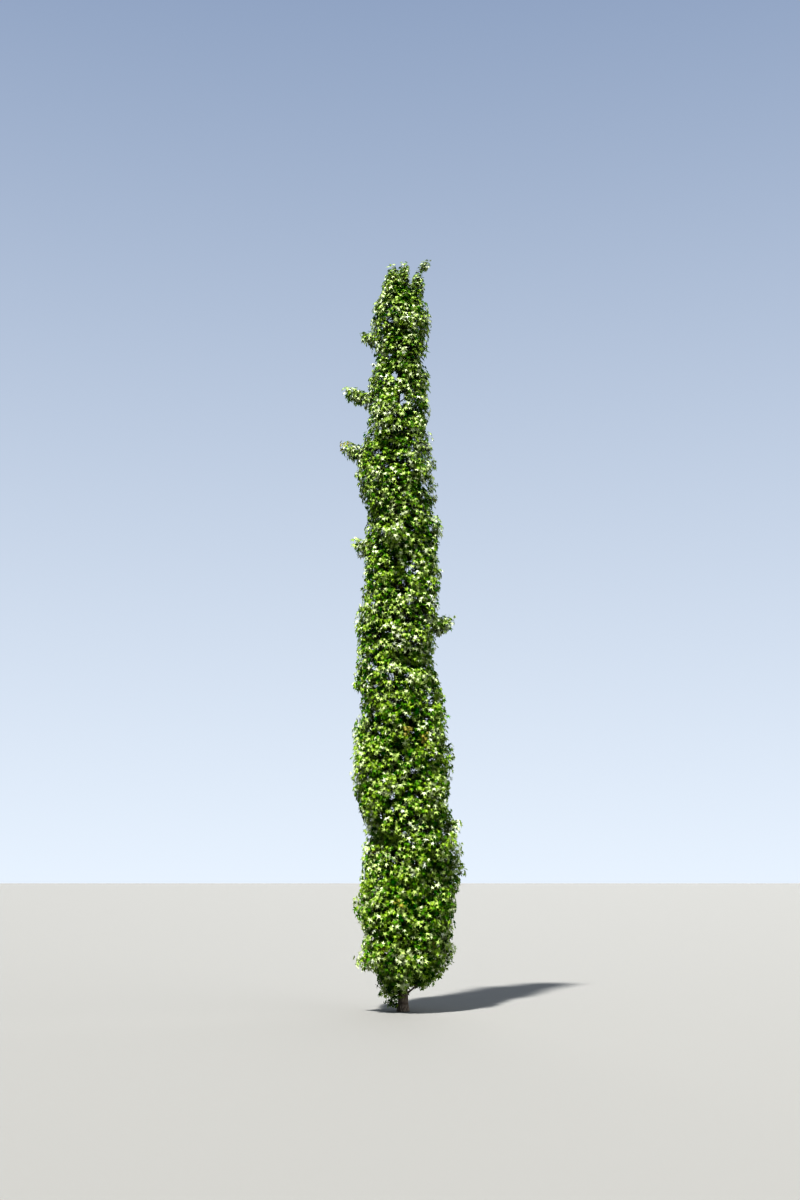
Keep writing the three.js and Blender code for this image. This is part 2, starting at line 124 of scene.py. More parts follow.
# How far the crown reaches to the left and the right at a height. It is as deep as it is wide.
CROWN_SIDES = [
    (0.19, -0.38, 0.20),
    (0.35, -0.45, 0.36),
    (0.50, -0.47, 0.54),
    (0.75, -0.58, 0.61),
    (1.25, -0.64, 0.72),
    (1.65, -0.55, 0.71),
    (2.10, -0.46, 0.75),
    (2.60, -0.66, 0.65),
    (3.20, -0.69, 0.64),
    (3.85, -0.61, 0.59),
    (4.40, -0.63, 0.40),
    (4.85, -0.66, 0.53),
    (5.50, -0.53, 0.50),
    (6.20, -0.51, 0.51),
    (6.85, -0.65, 0.41),
    (7.65, -0.57, 0.38),
    (8.40, -0.42, 0.34),
    (9.15, -0.43, 0.36),
    (9.58, -0.29, 0.24),
]
# Gaps through which the sky shows: where the line of sight crosses the trunk's plane, and half the gap's
# breadth and height
SKY_GAPS = [
    (0.112, 9.74, 0.022, 0.10),
    (-0.005, 7.95, 0.040, 0.09),
    (-0.107, 8.29, 0.028, 0.08),
    (-0.170, 9.09, 0.022, 0.04),
    (-0.163, 8.60, 0.018, 0.03),
    (0.062, 4.17, 0.028, 0.022),
    (-0.148, 4.18, 0.026, 0.02),
    (-0.106, 2.97, 0.026, 0.026),
    (-0.122, 2.64, 0.026, 0.035),
    (0.188, 2.62, 0.024, 0.022),
    (0.133, 2.94, 0.022, 0.022),
]
# The same for the window under the crown in which the lowest limb shows, bare
LOW_WINDOW = (0.135, 0.17, 0.075, 0.10)
# Small gaps between the leaves, dealt over the crown
SPECK_COUNT = 70
SPECK_HEIGHTS = (0.9, 7.6)
SPECK_SHARE = 0.75  # they lie within this share of the crown's reach
SPECK_SIZE = (0.012, 0.022)  # half the breadth

# Twigs and leaves. A tuft is a ring of leaves round the end of a shoot.
TUFT_REACH = 0.070  # how far a tuft's leaves stand out beyond the end of its shoot
FROM_TRUNK = 0.8  # how much the way from the trunk counts in the way out of the crown
LUMPS = 0.11  # how far the crown's surface stands out and in, over its reach
LUMP_SIZE = 0.28
LUMP_BALANCE = 0.25  # how far the whole surface stands in, over that
# Layers of tufts in a mass: least and most share of the way to its surface, and least spacing
LAYERS = [(0.90, 1.04, 0.096), (0.62, 0.82, 0.160), (0.25, 0.5, 0.26)]
SMALL_LEAF_SPACING = 0.7  # spacing at a leaf size of nothing, over that of full-sized leaves
DIRECTION_COUNT = 420
RAY_STEPS = np.linspace(0.1, 1.5, 43)  # places tried along each direction, over the mass's radius
FREE_DEPTH = 0.6  # how far out of its space a mass may grow: as depths() measures, over its radius squared
FOOT_DEPTH = 0.3  # how far inside its own space the foot's shoot stays, in the same measure
FIRST_JOINT = 6  # twigs leave a limb from this point of its line on
TWIG_POINTS = 6
KNEE_SHARE = 0.55
KNEE_DROP = 0.12
KNEE_CHANCE = 0.03
SIDE_SHOOTS = [0.55, 0.78]
SIDE_SHOOT_LENGTH = (0.06, 0.13)
SIDE_SHOOT_CHANCE = 0.35
SIDE_SHOOT_WAY = (0.8, 0.5, 0.5)  # sideways, out of the crown and up
TIP_WAY = (0.5, 0.4)  # how far twigs turn out of the crown and up at their ends
CROWN_EDGE = 1.02  # side shoots end within this share of the crown's reach
FAR_OUT = 9
TUFT_LEAVES = (6, 8)
SIDE_TUFT_LEAVES = (3, 5)
MOST_TUFTS = 8192
TUFT_SPREAD = (25, 88)  # degrees from the shoot to the youngest stalk and to the oldest
TUFT_SPREAD_CHANCE = 12
LEAF_LENGTH = (0.047, 0.067)  # from a leaf's middle to the tip of its longest lobe
LEAF_AGES = (0.8, 1.1)  # how long the youngest leaf and the oldest are, over that
STALK_LENGTH = (0.045, 0.085)
STALK_AGES = (0.7, 1.1)
LEAF_STEP = 0.010  # between two stalks along a shoot
STALK_LEAN = 0.25  # how far stalks lean out of the crown
FACE_ALONG = 0.3  # how far leaves face along their stalks, and out of the crown
FACE_OUTWARD = 0.8
LEAF_TURN = (-0.14, -0.35, 0.35)  # how far they turn upwards and to the sun
LEAF_HANG = np.array([0, 0, -0.9])  # how strongly they hang
LEAF_ALONG = 0.6  # how strongly they carry on along their stalks
LEAF_CHANCE = 0.42
LEAF_TESTS = (0.5, 1.1)  # a leaf is kept clear of what is near at these shares of its length
TWIG_CLEARANCE = 0.012
TWIG_GAP_MARGIN = 0.03
TWIG_FLOOR = 0.08
LEAF_CLEARANCE = 0.010
LEAF_GAP_MARGIN = 0.01
LEAF_FLOOR = 0.02
LEADER_SPACING = 0.066
LEADER_START = 0.8  # a shoot that stands out of the crown is leafy from this share of the crown's reach
LEADER_STEP = 0.02  # the distance along a leader over which its direction is taken
LEADER_CHANCE = (0.75, 1.1)
LEADER_LEAN = 0.4  # how far the twigs of a leader lean towards its tip
LEADER_TURN = 0.1  # from this far below the tip, tufts look fully sideways
LEADER_ACROSS = np.array([0.2, 1.0, 0.1])  # no leader runs this way
LEADER_TESTS = 40  # points along a shoot at which it's tested
SHORTEST_TWIG = 0.01
SHOOT_SPREAD = 0.45
SHOOT_FULLNESS = 0.38  # the longest twigs of a shoot over its girth

# The lobes of a leaf: bearing from its tip, length, and the breadth of the lobe, over the longest lobe
LOBES = [(0, 1.0, 0.24), (55, 0.95, 0.22), (110, 0.72, 0.18)]
NOTCHES = [(28, 0.35), (82, 0.32)]  # the notches between them: bearing and distance from the leaf's middle
BASE_NOTCH = 0.10
LOBE_SHOULDER = 0.52  # where a lobe is broadest, over its length
LEAF_FOOT = 0.12  # from the end of the stalk to the leaf's middle

# Leaf colours from the sunniest to the shadiest, then that of the few bronze tufts. They are lit and shaded
# copies of one green: painted light and painted shade, over the real difference between light young leaves
# and darker older ones. The palest tint also makes painted highlights.
TINTS = [
    ("leaf_pale", (0.47, 0.50, 0.40)),
    ("leaf_light", (0.39, 0.44, 0.26)),
    ("leaf_fresh", (0.28, 0.36, 0.110)),
    ("leaf_mid", (0.180, 0.265, 0.022)),
    ("leaf_deep", (0.068, 0.160, 0.003)),
    ("leaf_dark", (0.010, 0.064, 0.0005)),
    ("leaf_bronze", (0.23, 0.21, 0.05)),
]
BRONZE = len(TINTS) - 1
BRONZE_SHARE = 0.004
HEIGHT_PAINTED_LIGHT = 0.4  # painted light: how many tints lighter the tufts get from the foot up to the plumes
INNER_TINT = 4.8  # the place of the tint of inner tufts in the list: painted shade inside the crown
OUTER_PAINTED_LIGHT = 2.4  # painted light: how many tints lighter the outer ones are
LIGHT_START = 0.35  # the share of the crown's reach from which they are lighter
LIGHT_BREADTH = 0.6  # the share over which they become so
TINT_CHANCE = 0.15
TINT_STEPS = [-2, -1, -1, -1, 0, 0, 0, 1, 1, 1, 2]  # from a tuft's tint to its leaves': random tone, and painted highlights where a leaf steps to the palest tint

GOLDEN_ANGLE = math.pi * (3 - math.sqrt(5))
UP = np.array([0, 0, 1.0])
RARE_WAY = np.array([0.31, 0.93, 0.2])  # hardly any line runs this way

# A leaf: the end of its stalk, the ways along it and out of its face, its length, and the numbers of its
# tint, its shape and its mass in their lists
Leaf = namedtuple("Leaf", "foot along facing length tint shape mass")


def mix(a, b, share):
    return a + (b - a) * share


def unit(v):
    v = np.asarray(v, dtype=float)
    return v / np.maximum(np.linalg.norm(v, axis=-1, keepdims=True), 1e-9)


def bearing_vector(degrees):
    angle = math.radians(degrees)
    return np.array([math.cos(angle), math.sin(angle), 0.0])


def random_from(seed):
    """The source's own small generator, so that the masses stand where its solids do."""
    state = seed

    def draw():
        nonlocal state
        state = state * 48271 % 2147483647
        return state / 2147483647

    return draw


# Trunk and masses


def trunk_axis(height):
    height = np.asarray(height, dtype=float)
    bow = -TRUNK_BOW * np.sin(np.pi * height / TRUNK_BOW_SPAN)
    wave = TRUNK_WAVE * np.sin(2 * np.pi * height / TRUNK_WAVE_LENGTH)
    back = TRUNK_BACK_WAVE * np.sin(2 * np.pi * height / TRUNK_BACK_WAVE_LENGTH)
    return np.stack([bow + wave, back, height], axis=-1)


def trunk_radius(height):
    height = np.asarray(height, dtype=float)
    share = np.clip(height, 0, None) / TRUNK_TIP_HEIGHT
    taper = mix(TRUNK_RADIUS, TRUNK_TIP_RADIUS, share ** TRUNK_TAPER)
    return taper + FLARE_RADIUS * np.exp(-height / FLARE_FADE)


def crown_reach(height):
    straight = mix(LOW_REACH, HIGH_REACH, (height - LOWEST_MASS) / (HIGHEST_MASS - LOWEST_MASS))
    above = np.maximum(0, height - LOWEST_MASS)
    return straight * (1 - FOOT_NARROWING * np.exp(-above / FOOT_NARROWING_FADE))


def crown_shift(height):
    return CROWN_SHIFT * np.maximum(0, 1 - height / CROWN_SHIFT_END)


def mass_height(n):
    share = min(max((n - LOW_RING) / (MASS_COUNT - 2 - LOW_RING), 0), 1)
    return mix(LOWEST_MASS, HIGHEST_MASS, share * (1 + CROWDING * (1 - share)))


def spiral_masses(draw):
    made = []
    for n in range(MASS_COUNT):
        height = mass_height(n) + HEIGHT_CHANCE * (draw() - 0.5)
        bearing = FIRST_BEARING + BEARING_STEP * n + BEARING_CHANCE * (draw() - 0.5)
        reach = crown_reach(height) * mix(*REACH_CHANCE, draw())
        radius = MASS_SHARE * reach
        centre = trunk_axis(height) + bearing_vector(bearing) * (reach - radius)
        centre[0] += crown_shift(height)
        made.append({
            "name": f"leaves_{n + 1:02d}",
            "bough": f"bough_{n + 1:02d}" if n < BOUGH_COUNT else None,
            "centre": centre,
            "radius": radius,
            "root_height": max(LOWEST_ROOT, height - BOUGH_DROP * MASS_TALLNESS * radius),
            "limb_radius": BOUGH_RADIUS * reach / LOW_REACH,
            "shoots": [],
            "leaf_size": 1.0,
            # painted light: the higher a mass stands, the lighter its tufts' tints
            "painted_shade": -HEIGHT_PAINTED_LIGHT * height / TREE_HEIGHT,
        })
    return made


def plume_masses():
    made = []
    for n, (name, x, y, top, radius, spread, longest) in enumerate(PLUMES):
        made.append({
            "name": f"leaves_top_{name}",
            "bough": None,
            "centre": np.array([x, y, top - MASS_TALLNESS * radius]),
            "radius": radius,
            "root_height": TRUNK_TIP_HEIGHT - PLUME_ROOT_STEP * (n + 0.5),
            "limb_radius": 0.6 * BOUGH_RADIUS,
            "shoots": [],
            "plume": (np.array([x, y, top - TUFT_REACH]), spread, longest),
            "leaf_size": 0.82,
            # the plumes get no painted light or shade
            "painted_shade": 0,
        })
    return made


def foot_mass():
    return {
        "name": "leaves_foot_shoot",
        "bough": None,
        "centre": np.array(FOOT_SHOOT["middle"]),
        "radius": FOOT_SHOOT["radius"],
        "root_height": FOOT_SHOOT["root_height"],
        "limb_radius": 0.45 * BOUGH_RADIUS,
        "shoots": [],
        "leaf_size": 0.7,
        # painted shade: the foot's shoot lies in the crown's shadow, so its tufts are two tints darker
        "painted_shade": 2.0,
    }


MASSES = [*spiral_masses(random_from(SEED)), *plume_masses(), foot_mass()]
CENTRES = np.array([mass["centre"] for mass in MASSES])
RADII = np.array([mass["radius"] for mass in MASSES])
FOOT_INDEX = len(MASSES) - 1


def depths(points):
    """How far points are outside each mass's space, squared, and under 0 inside it. The least says whose
    a point is."""
    away = np.asarray(points)[..., None, :] - CENTRES
    away = away / np.array([1, 1, MASS_TALLNESS])
    return (away ** 2).sum(-1) - RADII ** 2


def limb_point(mass, t):
    """A limb leaves the trunk, bends and rises to the middle of its mass."""
    root = trunk_axis(mass["root_height"])
    centre = mass["centre"]
    bend = mix(root, centre, LIMB_BEND_OUT)
    bend[2] = mix(mass["root_height"], centre[2], LIMB_BEND_UP)
    t = np.asarray(t, dtype=float)[..., None]
    return root * (1 - t) ** 2 + bend * 2 * t * (1 - t) + centre * t ** 2


def limb_line(mass, index):
    """The points of a mass's limb from inside the trunk to its top, above the middle of the mass."""
    top = mass["centre"].copy()
    top[2] += STEM_TOP * MASS_TALLNESS * mass["radius"]
    while depths(top).argmin() != index:
        top[2] -= STEM_STEP * mass["radius"]
    if "plume" in mass:
        top = mass["plume"][0]
    curve = limb_point(mass, np.linspace(0, 1, LIMB_STEPS))
    above = [mix(curve[-1], top, share) for share in LIMB_TOP_SHARES]
    return np.array([*curve, *above])


# Growth: what grows is kept in these lists until the meshes are made

grown = {"twigs": [], "shoots": [], "stalks": [], "leaves": []}


class Places:
    """The places of the tufts, kept so that no two are too near."""

    def __init__(self):
        self.points = np.zeros((MOST_TUFTS, 3))
        self.count = 0

    def add(self, point):
        self.points[self.count] = point
        self.count += 1

    def are_free(self, point, spacing):
        away = self.points[:self.count] - point
        return (away ** 2).sum(axis=1).min(initial=1) > spacing ** 2


places = Places()


def crown_fit(points):
    """How far out points are in the crown, over its reach at their height: 1 at its surface. Points below
    and above the crown are far out."""
    heights, lefts, rights = np.array(CROWN_SIDES).T
    height = points[..., 2]
    left = np.interp(height, heights, lefts)
    right = np.interp(height, heights, rights)
    reach = (right - left) / 2
    back = (points[..., 1] - trunk_axis(height)[..., 1]) / reach
    across = (points[..., 0] - (left + right) / 2) / reach
    fit = np.hypot(across, back)
    return np.where((height < heights[0]) | (height > heights[-1]), FAR_OUT, fit)


def sky_specks():
    """The small gaps, in the form of the large ones."""
    rng = np.random.default_rng(SEED)
    heights, lefts, rights = np.array(CROWN_SIDES).T
    made = []
    for height in rng.uniform(*SPECK_HEIGHTS, SPECK_COUNT):
        left = np.interp(height, heights, lefts)
        right = np.interp(height, heights, rights)
        across = (left + right) / 2 + SPECK_SHARE * rng.uniform(-1, 1) * (right - left) / 2
        size = rng.uniform(*SPECK_SIZE)
        made.append((across, height, size, size))
    return made


GAPS = np.array([*SKY_GAPS, LOW_WINDOW, *sky_specks()])


def in_sky_gap(points, margin):
    """Whether points are in a gap, on the line of sight through the gap's place in the trunk's plane."""
    nearer = CAMERA_PLACE[1] / (CAMERA_PLACE[1] - points[..., 1])
    x = CAMERA_PLACE[0] + (points[..., 0] - CAMERA_PLACE[0]) * nearer
    z = CAMERA_PLACE[2] + (points[..., 2] - CAMERA_PLACE[2]) * nearer
    middle, height, breadth, tallness = GAPS.T
    across = (x[..., None] - middle) / (breadth + margin)
    up = (z[..., None] - height) / (tallness + margin)
    return (across ** 2 + up ** 2 < 1).any(axis=-1)


def has_room(points, index):
    """Whether points are in a mass's own space, so far from the crown's surface that a tuft has room."""
    mass = MASSES[index]
    found = depths(points)
    own = found[..., index]
    mine = own <= found.min(axis=-1)
    if index == FOOT_INDEX:
        return mine & (own < -FOOT_DEPTH * mass["radius"] ** 2)
    return mine & (own < FREE_DEPTH * mass["radius"] ** 2) & (crown_fit(points) < 1)


def clear_of_trunk(points, margin):
    away = np.linalg.norm((points - trunk_axis(points[..., 2]))[..., :2], axis=-1)
    return (away > trunk_radius(points[..., 2]) + margin) | (points[..., 2] > TRUNK_TIP_HEIGHT)


def outward_at(mass, point):
    """The way out of the crown at a point of a mass."""
    from_trunk = point - trunk_axis(point[2])
    from_trunk[2] = 0
    from_middle = (point - mass["centre"]) / np.array([1, 1, MASS_TALLNESS ** 2])
    return unit(unit(from_middle) + FROM_TRUNK * unit(from_trunk))


def grow_tuft(at, ahead, outward, count, tint, index, rng, size=1.0):
    """Leaves round the end of a shoot. The youngest is nearest to its end and hangs least."""
    across = unit(np.cross(ahead, rng.normal(size=3)))
    beyond = np.cross(ahead, across)
    order = np.arange(count)
    age = (order / count)[:, None]
    angle = (rng.uniform(0, 2 * np.pi) + order * GOLDEN_ANGLE)[:, None]
    chance = rng.uniform(-TUFT_SPREAD_CHANCE, TUFT_SPREAD_CHANCE, (count, 1))
    spread = np.radians(mix(*TUFT_SPREAD, age + 0.5 / count) + chance)
    radial = np.cos(angle) * across + np.sin(angle) * beyond
    way = unit(np.cos(spread) * ahead + np.sin(spread) * radial + STALK_LEAN * outward)
    root = at - ahead * LEAF_STEP * order[:, None]
    foot = root + way * rng.uniform(*STALK_LENGTH, (count, 1)) * mix(*STALK_AGES, age) * size
    chance = rng.normal(scale=LEAF_CHANCE, size=(count, 3))
    facing = unit(FACE_ALONG * way + FACE_OUTWARD * outward + LEAF_TURN + chance)
    hang = LEAF_ALONG * way + LEAF_HANG + rng.normal(scale=LEAF_CHANCE, size=(count, 3))
    along = unit(hang - facing * (hang * facing).sum(axis=1, keepdims=True))
    length = rng.uniform(*LEAF_LENGTH, (count, 1)) * mix(*LEAF_AGES, age) * size
    shape = rng.integers(len(LEAF_SHAPES), size=count)
    tests = np.stack([foot + along * length * share for share in LEAF_TESTS], axis=1)
    fits = (tests[..., 2] > LEAF_FLOOR) & clear_of_trunk(tests, LEAF_CLEARANCE)
    fits &= ~in_sky_gap(tests, LEAF_GAP_MARGIN)
    for n in np.flatnonzero(fits.all(axis=1)):
        # each leaf steps from its tuft's painted light or shade; a step to the palest tint is a painted
        # highlight
        leaf_tint = tint
        if tint != BRONZE:
            leaf_tint = int(np.clip(tint + TINT_STEPS[rng.integers(len(TINT_STEPS))], 0, BRONZE - 1))
        grown["stalks"].append((root[n], foot[n]))
        grown["leaves"].append(Leaf(foot[n], along[n], facing[n], length[n, 0], leaf_tint, shape[n], index))


def twig_root(joints, tip):
    """Of the joints on a limb, the one from which a twig best rises to its tip."""
    across = np.hypot(tip[0] - joints[:, 0], tip[1] - joints[:, 1])
    away = np.linalg.norm(joints - tip, axis=1)
    off = np.abs(tip[2] - joints[:, 2] - TWIG_RISE * across)
    return joints[(away + TWIG_RISE_WEIGHT * off).argmin()]


def grow_twig(root, tip, rng):
    """A twig rises from a joint, bends out and up, and ends at its tip."""
    span = np.linalg.norm(tip - root)
    chance = rng.normal(scale=KNEE_CHANCE * span, size=3)
    knee = mix(root, tip, KNEE_SHARE) + np.array([0, 0, -KNEE_DROP * span]) + chance
    t = np.linspace(0, 1, TWIG_POINTS)[:, None]
    line = root * (1 - t) ** 2 + knee * 2 * t * (1 - t) + tip * t ** 2
    grown["twigs"].append(line)
    return line


def tint_at(mass, point, rng):
    """Tufts at the outside get painted light and those inside get painted shade, with some chance. Young
    leaves at the outside are also really lighter.
    """
    if rng.random() < BRONZE_SHARE:
        return BRONZE
    out = min(float(crown_fit(point)), 1)
    # painted light, growing towards the crown's surface
    light = OUTER_PAINTED_LIGHT * np.clip((out - LIGHT_START) / LIGHT_BREADTH, 0, 1)
    level = INNER_TINT - light + mass["painted_shade"] + rng.normal(scale=TINT_CHANCE)
    return int(np.clip(round(level), 0, BRONZE - 1))


def grow_leafy_twig(mass, index, root, tip, rng):
    """A twig to a tuft at its tip, with two side shoots that end in smaller tufts."""
    size = mass["leaf_size"]
    line = grow_twig(root, tip, rng)
    outward = outward_at(mass, tip)
    ahead = unit(unit(line[-1] - line[-2]) + TIP_WAY[0] * outward + TIP_WAY[1] * UP)
    leaves = rng.integers(TUFT_LEAVES[0], TUFT_LEAVES[1] + 1)
    grow_tuft(tip, ahead, outward, leaves, tint_at(mass, tip, rng), index, rng, size)
    side = unit(np.cross(ahead, UP))
    across, out, up = SIDE_SHOOT_WAY
    for share in SIDE_SHOOTS:
        side = -side
        step = share * (len(line) - 1)
        start = mix(line[int(step)], line[int(step) + 1], step % 1)
        chance = rng.normal(scale=SIDE_SHOOT_CHANCE, size=3)
        way = unit(across * side + out * outward + up * UP + chance)
        end = start + way * rng.uniform(*SIDE_SHOOT_LENGTH) * size
        if crown_fit(end) > CROWN_EDGE or not clear_of_trunk(end, TWIG_CLEARANCE):
            continue
        grown["shoots"].append((start, end))
        leaves = rng.integers(SIDE_TUFT_LEAVES[0], SIDE_TUFT_LEAVES[1] + 1)
        grow_tuft(end, way, outward_at(mass, end), leaves, tint_at(mass, end, rng), index, rng, size)


def grow_leader(mass, index, line, leafy, twigs, size, rng):
    """Tufts on short twigs all round a shoot that stands out of the crown, or a plume. The twigs lengthen
    below its tip."""
    spread, longest = twigs
    spacing = LEADER_SPACING * size
    travelled = np.concatenate([[0], np.cumsum(np.linalg.norm(np.diff(line, axis=0), axis=1))])
    turn = rng.uniform(0, 2 * math.pi)
    back = 0.0
    while back < min(leafy, travelled[-1]):
        here, before = [
            np.array([np.interp(travelled[-1] - d, travelled, line[:, k]) for k in range(3)])
            for d in (back, back + LEADER_STEP)
        ]
        ahead = unit(here - before)
        across = unit(np.cross(ahead, LEADER_ACROSS))
        side = math.cos(turn) * across + math.sin(turn) * np.cross(ahead, across)
        reach = min(spread * back, longest) * rng.uniform(*LEADER_CHANCE)
        end = here + reach * (side + LEADER_LEAN * ahead)
        if reach > SHORTEST_TWIG:
            grown["shoots"].append((here, end))
        outward = unit(side + 0.5 * ahead + 0.2 * UP)
        way = unit(ahead + side * min(back / LEADER_TURN, 1) + 0.3 * UP)
        leaves = rng.integers(SIDE_TUFT_LEAVES[1], TUFT_LEAVES[1])
        places.add(end)
        grow_tuft(end, way, outward, leaves, tint_at(mass, end, rng), index, rng, size)
        back += spacing ** 2 / (2 * math.pi * reach + spacing)
        turn += GOLDEN_ANGLE


def directions(count):
    """An even set of directions all round."""
    turn = np.arange(count)
    z = 1 - 2 * (turn + 0.5) / count
    across = np.sqrt(1 - z * z)
    angle = GOLDEN_ANGLE * turn
    return np.stack([across * np.cos(angle), across * np.sin(angle), z], axis=1)


def lump_at(point):
    return noise.noise(Vector(point) / LUMP_SIZE)


def room_along(mass, index, ways):
    """How many steps along each way there is room for the mass, counted from its middle, less one."""
    rays = mass["centre"] + ways[:, None] * RAY_STEPS[:, None]
    room = has_room(rays, index)
    return np.where(room.all(axis=1), len(RAY_STEPS) - 1, room.argmin(axis=1) - 1)


def grow_shoots(mass, index, joints, rng):
    """The longer shoots of a mass that stand out of the crown."""
    for shoot in mass["shoots"]:
        end = shoot["tip"] - TUFT_REACH * unit(shoot["tip"] - mass["centre"])
        line = grow_twig(twig_root(joints, end), end, rng)
        tests = mix(end, line[0], np.linspace(0, 1, LEADER_TESTS)[:, None])
        outside = crown_fit(tests) > LEADER_START
        leafy = min(shoot["leafy"], outside.mean() * np.linalg.norm(end - line[0]))
        twigs = (SHOOT_SPREAD, SHOOT_FULLNESS * shoot["girth"])
        grow_leader(mass, index, line, leafy, twigs, shoot["leaf_size"], rng)


def grow_mass(mass, index):
    """A mass's longer shoots, then its layers of tufts from the outside in. A plume is a leafy shoot."""
    rng = np.random.default_rng([SEED, index])
    limb = mass["limb"][FIRST_JOINT:]
    joints = np.concatenate([limb, (limb[:-1] + limb[1:]) / 2])
    grow_shoots(mass, index, joints, rng)
    if "plume" in mass:
        grow_leader(mass, index, mass["limb"], PLUME_LEAFY, mass["plume"][1:], mass["leaf_size"], rng)
        return
    ways = directions(DIRECTION_COUNT) * np.array([1, 1, MASS_TALLNESS]) * mass["radius"]
    last = room_along(mass, index, ways)
    for least, most, spacing in LAYERS:
        spacing *= mix(SMALL_LEAF_SPACING, 1, mass["leaf_size"])
        for n in rng.permutation(DIRECTION_COUNT):
            if last[n] < 1:
                continue
            reach = RAY_STEPS[last[n]] * rng.uniform(least, most)
            tip = mass["centre"] + ways[n] * reach
            inward = trunk_axis(tip[2]) - tip
            if index != FOOT_INDEX:
                tip += inward * LUMPS * (LUMP_BALANCE - 2 * lump_at(tip))
                tip -= TUFT_REACH * unit(tip - trunk_axis(tip[2]))
            if not clear_of_trunk(tip, TWIG_CLEARANCE) or in_sky_gap(tip, TWIG_GAP_MARGIN):
                continue
            if tip[2] < TWIG_FLOOR or not places.are_free(tip, spacing):
                continue
            places.add(tip)
            grow_leafy_twig(mass, index, twig_root(joints, tip), tip, rng)


def grow_tree():
    """Gives the shoots to the masses that they're nearest to, then grows every mass."""
    for height, bearing, reach, girth in SHOOTS:
        tip = trunk_axis(height) + bearing_vector(bearing) * reach
        shoot = {"tip": tip, "girth": girth, "leafy": reach, "leaf_size": 1.0}
        MASSES[depths(tip).argmin()]["shoots"].append(shoot)
    MASSES[depths(TIP_SHOOT["tip"]).argmin()]["shoots"].append(TIP_SHOOT)
    for index, mass in enumerate(MASSES):
        mass["limb"] = limb_line(mass, index)
    for index, mass in enumerate(MASSES):
        grow_mass(mass, index)


# Meshes


def leaf_template(droop, fold, skew):
    """A star-shaped leaf with five lobes. The origin is the end of its stalk, x runs along it and z out of
    its face."""

    def place(degrees, share, lift):
        angle = math.radians(degrees)
        return (LEAF_FOOT + share * math.cos(angle), share * math.sin(angle), lift - droop * share * share)

    points = [(LEAF_FOOT, 0, 0)]
    right = []
    for lobe, (degrees, length, breadth) in enumerate(LOBES):
        degrees += skew if lobe else 0
        turn = math.degrees(math.atan2(breadth / 2, LOBE_SHOULDER * length))
        shoulder = math.hypot(breadth / 2, LOBE_SHOULDER * length)
        right += [(degrees - turn, shoulder, fold), (degrees, length, 0), (degrees + turn, shoulder, fold)]
        if lobe < len(NOTCHES):
            right.append((*NOTCHES[lobe], 0.5 * fold))
    left = [(-degrees, share, lift) for degrees, share, lift in reversed(right[2:])]
    rim = [*right[1:], (180, BASE_NOTCH, 0), *left]
    points += [place(*spot) for spot in rim]
    count = len(rim)
    faces = [(0, 1 + n, 1 + (n + 1) % count) for n in range(count)]
    return np.array(points), np.array(faces)


LEAF_SHAPES = [
    leaf_template(0.10, 0.08, 0),
    leaf_template(0.16, 0.10, 4),
    leaf_template(0.03, 0.09, -5),
    leaf_template(0.22, 0.11, 2),
]


def mesh_object(name, points, faces, materials, tints=None, smooth=True):
    mesh = bpy.data.meshes.new(name)
    points = np.asarray(points, dtype=np.float32)
    faces = np.asarray(faces, dtype=np.int32)
    corners = faces.shape[1]
    mesh.vertices.add(len(points))
    mesh.vertices.foreach_set("co", points.ravel())
    mesh.loops.add(faces.size)
    mesh.loops.foreach_set("vertex_index", faces.ravel())
    mesh.polygons.add(len(faces))
    mesh.polygons.foreach_set("loop_start", np.arange(0, faces.size, corners, dtype=np.int32))
    for material in materials:
        mesh.materials.append(material)
    if tints is not None:
        mesh.polygons.foreach_set("material_index", np.asarray(tints, dtype=np.int32))
    mesh.polygons.foreach_set("use_smooth", np.full(len(faces), smooth))
    mesh.update(calc_edges=True)
    made = bpy.data.objects.new(name, mesh)
    bpy.context.scene.collection.objects.link(made)
    return made


def tubes(lines, radii, sides):
    """Open tubes round many lines of the same number of points, as one set of points and triangles."""
    lines = np.asarray(lines, dtype=float)
    count, steps, _ = lines.shape
    ahead = np.empty_like(lines)
    ahead[:, 1:-1] = lines[:, 2:] - lines[:, :-2]
    ahead[:, 0] = lines[:, 1] - lines[:, 0]
    ahead[:, -1] = lines[:, -1] - lines[:, -2]
    ahead = unit(ahead)
    across = unit(np.cross(RARE_WAY, ahead))
    beyond = np.cross(ahead, across)
    angle = 2 * np.pi * np.arange(sides) / sides
    radii = np.broadcast_to(np.asarray(radii, dtype=float), (count, steps))[..., None, None]
    ring = across[:, :, None] * np.cos(angle)[:, None] + beyond[:, :, None] * np.sin(angle)[:, None]
    points = (lines[:, :, None] + radii * ring).reshape(-1, 3)
    tube, step, side = np.meshgrid(np.arange(count), np.arange(steps - 1), np.arange(sides), indexing="ij")
    a = (tube * steps + step) * sides + side
    b = (tube * steps + step) * sides + (side + 1) % sides
    faces = np.stack([a, b, b + sides, a, b + sides, a + sides], axis=-1).reshape(-1, 3)
    return points, faces


def spikes(lines, radius):
    """Three-sided spikes along many straight lines, as one set of points and triangles."""
    root, tip = np.swapaxes(np.asarray(lines, dtype=float), 0, 1)
    ahead = unit(tip - root)
    across = unit(np.cross(RARE_WAY, ahead))
    beyond = np.cross(ahead, across)
    turns = (0, 2 * math.pi / 3, 4 * math.pi / 3)
    corners = [math.cos(turn) * across + math.sin(turn) * beyond for turn in turns]
    points = np.stack([root + radius * corner for corner in corners] + [tip], axis=1).reshape(-1, 3)
    faces = np.array([(0, 1, 3), (1, 2, 3), (2, 0, 3)]) + 4 * np.arange(len(root))[:, None, None]
    return points, faces.reshape(-1, 3)


def joined(parts):
    """Several sets of points and triangles as one."""
    points, faces, start = [], [], 0
    for some_points, some_faces in parts:
        points.append(some_points)
        faces.append(some_faces + start)
        start += len(some_points)
    return np.concatenate(points), np.concatenate(faces)


